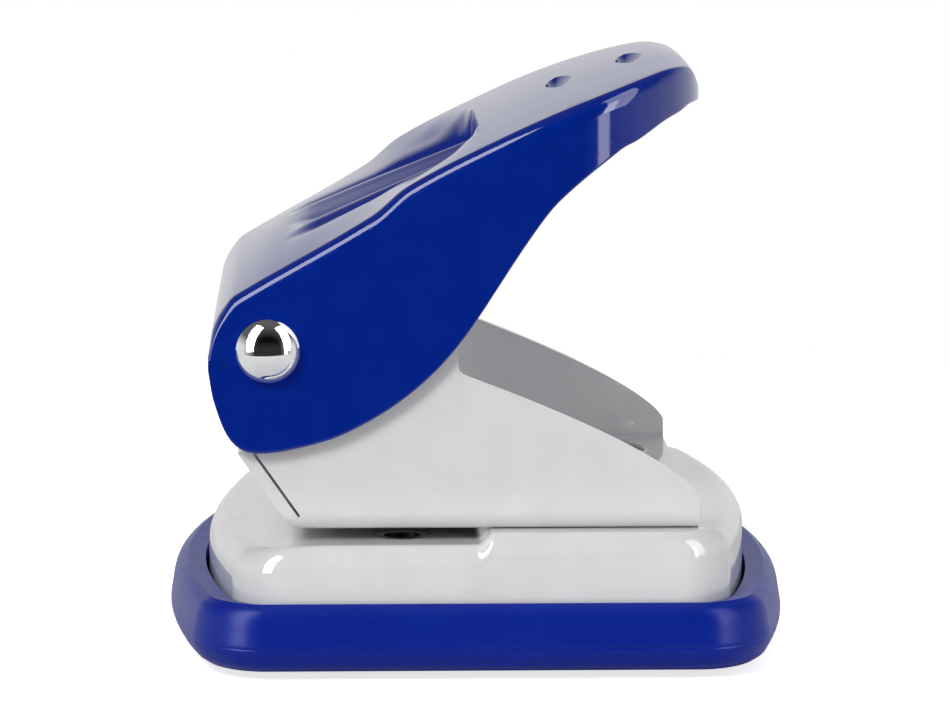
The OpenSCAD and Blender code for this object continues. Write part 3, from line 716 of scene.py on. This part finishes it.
def folded_frame():
    """Copy of the folded sheet with the ends of its rear lip rounded and its cut edges broken."""
    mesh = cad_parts["frame"].data.copy()
    sheet = new_object("folded_frame", mesh)
    bm = bmesh.new()
    bm.from_mesh(mesh)
    bmesh.ops.remove_doubles(bm, verts=bm.verts, dist=SEAM_DIST)
    bmesh.ops.dissolve_limit(bm, angle_limit=math.radians(FLAT_DEGREES), verts=bm.verts, edges=bm.edges)
    bm.to_mesh(mesh)
    bm.free()
    boolean(sheet, fold_profile(), "INTERSECT")
    edge = sheet.modifiers.new("broken_edges", "BEVEL")
    edge.width = BROKEN_EDGE * MM
    edge.segments = 3
    edge.limit_method = "ANGLE"
    edge.angle_limit = math.radians(CUT_DEGREES)
    settle(sheet)
    shade(sheet, degrees=35)
    return sheet


def domed_cap(name, side):
    """Lathe-turned flat dome on a short straight rim."""
    lean = math.radians(CAP_LEAN)
    dome_r = CAP_D / 2 / math.sin(lean)
    around = 96
    up = 30
    profile = []
    for k in range(1, up + 1):
        t = lean * k / up
        profile.append((dome_r * math.sin(t), CAP_H - dome_r * (1 - math.cos(t))))
    profile.append((CAP_D / 2, 0.0))
    turns = [2 * math.pi * a / around for a in range(around)]
    verts = [(0, side * (CAP_SEAT + CAP_H), 0)]
    for radius, rise in profile:
        y = side * (CAP_SEAT + rise)
        verts += [(radius * math.cos(t), y, radius * math.sin(t)) for t in turns]
    faces = [(0, 1 + a, 1 + (a + 1) % around) for a in range(around)]
    for k in range(up):
        at = 1 + k * around
        faces += [
            (at + a, at + around + a, at + around + (a + 1) % around, at + (a + 1) % around)
            for a in range(around)
        ]
    last = 1 + up * around
    faces.append(tuple(range(last, last + around)))
    dome = mesh_piece(name, [(x + PIVOT_X, y, z + PIVOT_Z) for x, y, z in verts], faces)
    shade(dome, degrees=25)
    return dome


class Growth(Nodes):
    """One Geometry Nodes tree with a named number input for each size and one for the finish."""

    def __init__(self, name, sizes):
        super().__init__(bpy.data.node_groups.new(name, "GeometryNodeTree"))
        sockets = self.tree.interface
        sockets.new_socket("Geometry", in_out="OUTPUT", socket_type="NodeSocketGeometry")
        for size in sizes:
            sockets.new_socket(size, in_out="INPUT", socket_type="NodeSocketFloat")
        sockets.new_socket("Finish", in_out="INPUT", socket_type="NodeSocketMaterial")
        self.given = self.tree.nodes.new("NodeGroupInput").outputs

    def offset(self, geometry, move):
        made = self.add("GeometryNodeSetPosition", {"Geometry": geometry, "Offset": move})
        return made.outputs["Geometry"]

    def moved(self, geometry, move):
        made = self.add("GeometryNodeTransform", {"Geometry": geometry, "Translation": move})
        return made.outputs["Geometry"]

    def round_bar(self, radius, length):
        return self.add("GeometryNodeMeshCylinder", {
            "Vertices": 40, "Radius": radius, "Depth": length,
        }).outputs["Mesh"]

    def close(self, geometry):
        real = self.add("GeometryNodeRealizeInstances", {"Geometry": geometry}).outputs["Geometry"]
        done = self.add("GeometryNodeSetMaterial", {"Geometry": real, "Material": self.given["Finish"]})
        self.add("NodeGroupOutput", {"Geometry": done.outputs["Geometry"]})
        return self.tree


def grown(name, tree, values, material):
    """Runs a tree on an empty mesh and keeps the result as a plain mesh."""
    obj = new_object(name, bpy.data.meshes.new(name))
    grow = obj.modifiers.new("grow", "NODES")
    grow.node_group = tree
    for item in tree.interface.items_tree:
        if item.in_out == "INPUT" and item.name in values:
            grow[item.identifier] = values[item.name]
        elif item.in_out == "INPUT" and item.name == "Finish":
            grow[item.identifier] = material
    settle(obj)
    return obj


def spring_tree():
    """Compression spring: closed end coils, open live coils, one round wire."""
    lay = Growth("wound_spring", ["Low", "High", "Radius", "Wire radius", "Turns", "Place X", "Place Y"])
    given = lay.given
    spiral = lay.add("GeometryNodeCurveSpiral", {
        "Resolution": 40, "Rotations": given["Turns"], "Height": 0.0,
        "Start Radius": given["Radius"], "End Radius": given["Radius"],
    }).outputs["Curve"]
    share = lay.add("GeometryNodeSplineParameter").outputs["Factor"]
    dead = lay.maths("DIVIDE", CLOSED_TURNS, given["Turns"])
    live_end = lay.maths("SUBTRACT", 1.0, dead)
    low_part = lay.span(share, 0.0, dead, 0.0, CLOSED_CLIMB)
    live_part = lay.span(share, dead, live_end, 0.0, 1 - 2 * CLOSED_CLIMB)
    high_part = lay.span(share, live_end, 1.0, 0.0, CLOSED_CLIMB)
    climb = lay.maths("ADD", lay.maths("ADD", low_part, live_part), high_part)
    core_low = lay.maths("ADD", given["Low"], given["Wire radius"])
    core_high = lay.maths("SUBTRACT", given["High"], given["Wire radius"])
    height = lay.maths("SUBTRACT", core_high, core_low)
    z = lay.maths("ADD", core_low, lay.maths("MULTIPLY", climb, height))
    path = lay.offset(spiral, lay.vector(X=given["Place X"], Y=given["Place Y"], Z=z))
    wire = lay.add("GeometryNodeCurvePrimitiveCircle", {
        "Resolution": 14, "Radius": given["Wire radius"],
    }).outputs["Curve"]
    return lay.close(lay.add("GeometryNodeCurveToMesh", {
        "Curve": path, "Profile Curve": wire, "Fill Caps": True,
    }).outputs["Mesh"])


def rivet_tree():
    """Four rivets: a domed head on the frame floor, a shank and a set end under the base sheet."""
    lay = Growth("frame_rivets", [
        "Middle X", "Pitch X", "Pitch Y", "Head Z", "Head radius", "Head height", "Stack",
    ])
    given = lay.given
    grid = lay.add("GeometryNodeMeshGrid", {
        "Size X": given["Pitch X"], "Size Y": given["Pitch Y"], "Vertices X": 2, "Vertices Y": 2,
    }).outputs["Mesh"]
    places = lay.offset(grid, lay.vector(X=given["Middle X"], Z=given["Head Z"]))
    ball = lay.add("GeometryNodeMeshUVSphere", {
        "Segments": 40, "Rings": 28, "Radius": given["Head radius"],
    }).outputs["Mesh"]
    point = lay.add("GeometryNodeInputPosition").outputs[0]
    parts = lay.add("ShaderNodeSeparateXYZ", {0: point}).outputs
    squat = lay.maths("DIVIDE", given["Head height"], given["Head radius"])
    dome_z = lay.maths("MULTIPLY", lay.maths("MAXIMUM", parts["Z"], 0.0), squat)
    dome = lay.add("GeometryNodeSetPosition", {
        "Geometry": ball, "Position": lay.vector(X=parts["X"], Y=parts["Y"], Z=dome_z),
    }).outputs["Geometry"]
    set_r = lay.maths("MULTIPLY", given["Head radius"], RIVET_SET)
    half_head = lay.maths("MULTIPLY", given["Head height"], 0.5)
    set_z = lay.maths("MULTIPLY", lay.maths("ADD", given["Stack"], half_head), -1.0)
    set_end = lay.moved(lay.round_bar(set_r, given["Head height"]), lay.vector(Z=set_z))
    shank_r = lay.maths("MULTIPLY", given["Head radius"], RIVET_SHANK)
    shank_z = lay.maths("MULTIPLY", given["Stack"], -0.5)
    shank = lay.moved(lay.round_bar(shank_r, given["Stack"]), lay.vector(Z=shank_z))
    rivet = lay.add("GeometryNodeJoinGeometry")
    for piece in (dome, set_end, shank):
        lay.tree.links.new(piece, rivet.inputs["Geometry"])
    return lay.close(lay.add("GeometryNodeInstanceOnPoints", {
        "Points": places, "Instance": rivet.outputs["Geometry"],
    }).outputs["Instances"])


# The pieces

finish_piece(lever_shell(), blue_enamel, "lever", "blue_enamel", "lever")
finish_piece(base_shell(), white_enamel, "base", "white_enamel", "base_pan")
finish_piece(tray_moulding(), tray_plastic, "tray", "blue_plastic", "chip_tray")
finish_piece(folded_frame(), white_enamel, "base", "white_enamel", "frame")
for side, sign in SIDES.items():
    finish_piece(domed_cap("dome_" + side, sign), chrome, "base", "chrome", "pivot_cap_" + side)

spring_nodes = spring_tree()
for side, sign in SIDES.items():
    spring = grown("spring_" + side, spring_nodes, {
        "Low": SPRING_LOW * MM, "High": SPRING_HIGH * MM, "Turns": float(SPRING_TURNS),
        "Radius": SPRING_D / 2 * MM, "Wire radius": WIRE_D / 2 * MM,
        "Place X": HOLE_X * MM, "Place Y": sign * HOLE_Y * MM,
    }, spring_wire)
    shade(spring, degrees=60)
    finish_piece(spring, spring_wire, "base", "spring_steel", "return_spring_" + side)
    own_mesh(spring)

rivets = grown("rivets", rivet_tree(), {
    "Middle X": sum(RIVET_X) / 2 * MM, "Pitch X": (RIVET_X[1] - RIVET_X[0]) * MM,
    "Pitch Y": 2 * RIVET_Y * MM, "Head Z": (FLOOR_Z + FRAME_SHEET) * MM,
    "Head radius": RIVET_HEAD_R * MM, "Head height": RIVET_HEAD_H * MM,
    "Stack": (FRAME_SHEET + PAN_SHEET) * MM,
}, zinc_steel)
outwards(rivets)
shade(rivets, degrees=40)
finish_piece(rivets, zinc_steel, "base", "steel", "frame_rivets")

CAD_FINISHES = {
    zinc_steel: [
        "pin_bracket_near", "pin_bracket_far", "spring_washer_near", "spring_washer_far",
        "pivot_washer_near", "pivot_washer_far",
    ],
    turned_steel: ["press_bar", "pivot_shaft", "guide_bush_near", "guide_bush_far"],
    ground_steel: ["punch_pin_near", "punch_pin_far", "die_near", "die_far"],
    spring_wire: ["retaining_clip_near", "retaining_clip_far"],
}
for finish, names in CAD_FINISHES.items():
    for name in names:
        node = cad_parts[name]
        if node.material_slots:
            for cell in node.material_slots:
                cell.material = finish
        else:
            node.data.materials.append(finish)


# Floor, light and camera, in metres

FLOOR_R = 0.30
FLOOR_AT = (0, 0.06, -0.0003)
FLOOR_COLOUR = (0.85, 0.85, 0.85, 1)
FLOOR_GLOW = 0.75
AMBIENT = 0.20
LAMP_AIM = Vector((0, 0, 0.05))
EYE = Vector((-0.0253, -0.898, 0.1609))
AHEAD = Vector((0.0281, 0.9914, -0.1278))
SENSOR_MM = 36.0
LENS_MM = 198.2


def pale_floor():
    """Round floor that takes the shadow; its glow, seen by the camera alone, brings it to white."""
    bm = bmesh.new()
    place = Matrix.Translation(FLOOR_AT)
    bmesh.ops.create_circle(bm, cap_ends=True, segments=96, radius=FLOOR_R, matrix=place)
    mesh = bpy.data.meshes.new("floor")
    bm.to_mesh(mesh)
    bm.free()
    floor = new_object("floor", mesh)
    material = bpy.data.materials.new("floor_white")
    material.use_nodes = True
    material.node_tree.nodes.clear()
    lay = Nodes(material.node_tree)
    seen = lay.add("ShaderNodeLightPath").outputs["Is Camera Ray"]
    paint = lay.add("ShaderNodeBsdfDiffuse", {"Color": FLOOR_COLOUR}).outputs[0]
    glow = lay.add("ShaderNodeEmission", {"Strength": lay.maths("MULTIPLY", seen, FLOOR_GLOW)}).outputs[0]
    both = lay.add("ShaderNodeAddShader", {0: paint, 1: glow}).outputs[0]
    lay.add("ShaderNodeOutputMaterial", {"Surface": both})
    mesh.materials.append(material)


def studio_world():
    """White to the camera, a pale studio in reflections and a low even light elsewhere."""
    world = bpy.data.worlds.new("studio")
    bpy.context.scene.world = world
    world.use_nodes = True
    world.node_tree.nodes.clear()
    lay = Nodes(world.node_tree)
    path = lay.add("ShaderNodeLightPath").outputs
    place = lay.add("ShaderNodeTexCoord").outputs["Generated"]
    parts = lay.add("ShaderNodeSeparateXYZ", {0: place}).outputs
    # the reflected studio is pale behind and beside the object, dim on the camera's side and overhead
    depth = lay.span(parts["Y"], start=-0.75, end=-0.1, low=0.03, high=0.75)
    height = lay.span(parts["Z"], start=0.15, end=0.5, low=1.0, high=0.15)
    studio = lay.maths("MULTIPLY", depth, height)
    clear = lay.maths("MAXIMUM", path["Is Camera Ray"], path["Is Transmission Ray"])
    level = lay.mix(clear, lay.mix(path["Is Glossy Ray"], AMBIENT, studio), 1.0)
    back = lay.add("ShaderNodeBackground", {"Color": (1, 1, 1, 1), "Strength": level}).outputs[0]
    lay.add("ShaderNodeOutputWorld", {"Surface": back})


def softbox(name, place, width, height, watts, along=(0, 0, 1), mirrored=True, lit=True):
    """Rectangular lamp that faces the middle of the object, its height along the given direction.

    It shows in reflections only where mirrored, and lights matt surfaces only where lit.
    """
    light = bpy.data.lights.new(name, "AREA")
    light.shape = "RECTANGLE"
    light.size = width
    light.size_y = height
    light.energy = watts
    back = (Vector(place) - LAMP_AIM).normalized()
    right = Vector(along).cross(back).normalized()
    turn = Matrix((right, back.cross(right), back)).transposed()
    obj = bpy.data.objects.new(name, light)
    obj.matrix_world = Matrix.Translation(place) @ turn.to_4x4()
    obj.visible_glossy = mirrored
    obj.visible_diffuse = lit
    bpy.context.scene.collection.objects.link(obj)


pale_floor()
studio_world()
# Lamps: place, width, height and watts
softbox("key", (-0.40, -0.72, 0.61), 0.32, 0.28, 4.4, mirrored=False)
softbox("panel_left", (-0.55, -0.45, 0.42), 0.42, 0.95, 1.2, mirrored=False)
softbox("panel_right", (0.62, -0.32, 0.42), 0.42, 0.95, 0.6, mirrored=False)
softbox("gloss_left", (-0.60, -0.37, 0.51), 0.38, 1.25, 12.0, along=(0.40, 0.35, 0.95), lit=False)
softbox("gloss_right", (0.60, -0.30, 0.50), 0.38, 1.10, 5.0, along=(-0.40, 0.35, 0.95), lit=False)
softbox("strip_right", (0.44, -0.34, 0.18), 0.09, 0.50, 0.7)
softbox("top", (0.0, 0.10, 0.85), 0.50, 0.40, 0.4, mirrored=False)
softbox("back", (0.25, 0.75, 0.50), 0.60, 0.50, 3.0, mirrored=False)

camera_data = bpy.data.cameras.new("camera")
camera_data.sensor_width = SENSOR_MM
camera_data.lens = LENS_MM
camera_data.clip_start = 0.01
camera = bpy.data.objects.new("camera", camera_data)
camera.location = EYE
camera.rotation_euler = AHEAD.to_track_quat("-Z", "Y").to_euler()
bpy.context.scene.collection.objects.link(camera)
bpy.context.scene.camera = camera
bpy.context.scene.view_settings.view_transform = "Standard"
